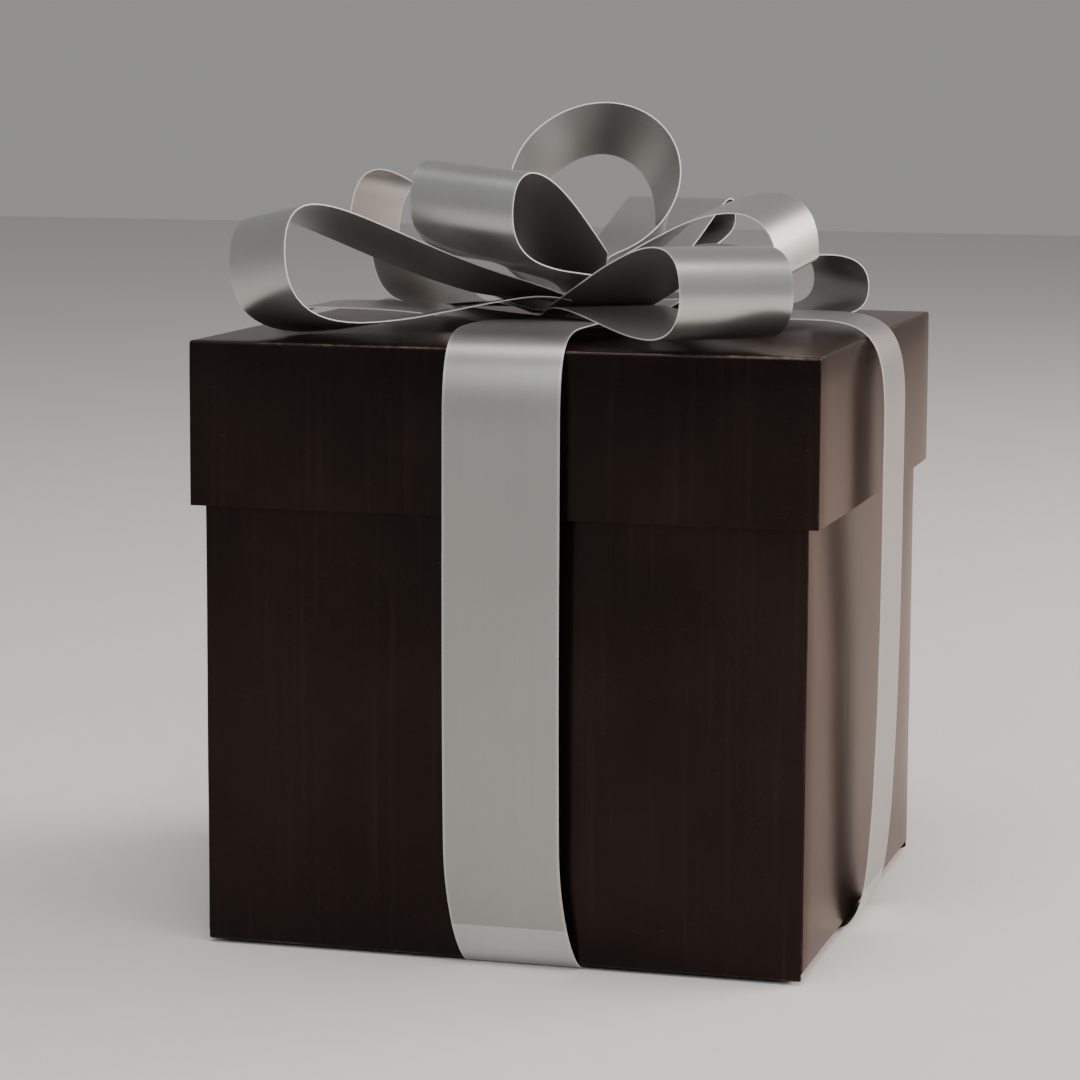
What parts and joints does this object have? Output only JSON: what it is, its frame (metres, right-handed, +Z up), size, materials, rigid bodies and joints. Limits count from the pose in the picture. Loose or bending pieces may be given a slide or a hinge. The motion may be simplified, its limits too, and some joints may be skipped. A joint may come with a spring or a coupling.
{
  "type": "gift box",
  "caption": "Square lift-off-lid gift box in dark board, wrapped both ways in wide satin ribbon with a looped bow on top.",
  "frame": {"origin": "on the floor, at the middle of the box in plan", "axes": "+Z up, +X to the right along the front face, +Y from the front face to the back"},
  "size_m": [0.2866, 0.2935, 0.3582],
  "materials": {
    "box_board": "matte dark brown-black printed board",
    "lid_board": "matte dark brown-black printed board",
    "board_inside": "plain kraft liner",
    "tape": "clear brown packing tape",
    "ribbon": "stiff satin ribbon with a metallic sheen",
    "bow_ribbon": "stiff satin ribbon with a metallic sheen",
    "foam": "adhesive foam pad",
    "staple_wire": "bright wire"
  },
  "bodies": {
    "base": {"base_front_wall": "box_board", "base_back_wall": "box_board", "base_left_wall": "box_board", "base_right_wall": "box_board", "base_glue_tab": "board_inside", "bottom_front_flap": "box_board", "bottom_back_flap": "box_board", "bottom_left_flap": "box_board", "bottom_right_flap": "box_board", "bottom_tape": "tape", "under_ribbon_front_back": "ribbon", "under_ribbon_side_side": "ribbon"},
    "lid": {"lid_top_panel": "lid_board", "lid_front_wall": "lid_board", "lid_back_wall": "lid_board", "lid_left_wall": "lid_board", "lid_right_wall": "lid_board", "lid_tab_front_left": "board_inside", "lid_tab_front_right": "board_inside", "lid_tab_back_left": "board_inside", "lid_tab_back_right": "board_inside"},
    "ribbon_wrap": {"ribbon_band_front_back": "ribbon", "ribbon_band_side_side": "ribbon", "bow_pad": "foam", "bow_strip_first": "bow_ribbon", "bow_strip_second": "bow_ribbon", "bow_strip_third": "bow_ribbon", "bow_strip_top": "bow_ribbon", "bow_centre_loop": "bow_ribbon", "bow_staple": "staple_wire"}
  },
  "joints": [
    {"name": "lid_lift", "type": "slide", "parent": "base", "child": "lid", "axis": [0, 0, 1], "range_m": [0, 0.3]},
    {"name": "ribbon_lift", "type": "slide", "parent": "lid", "child": "ribbon_wrap", "axis": [0, 0, 1], "range_m": [0, 0.3]}
  ]
}
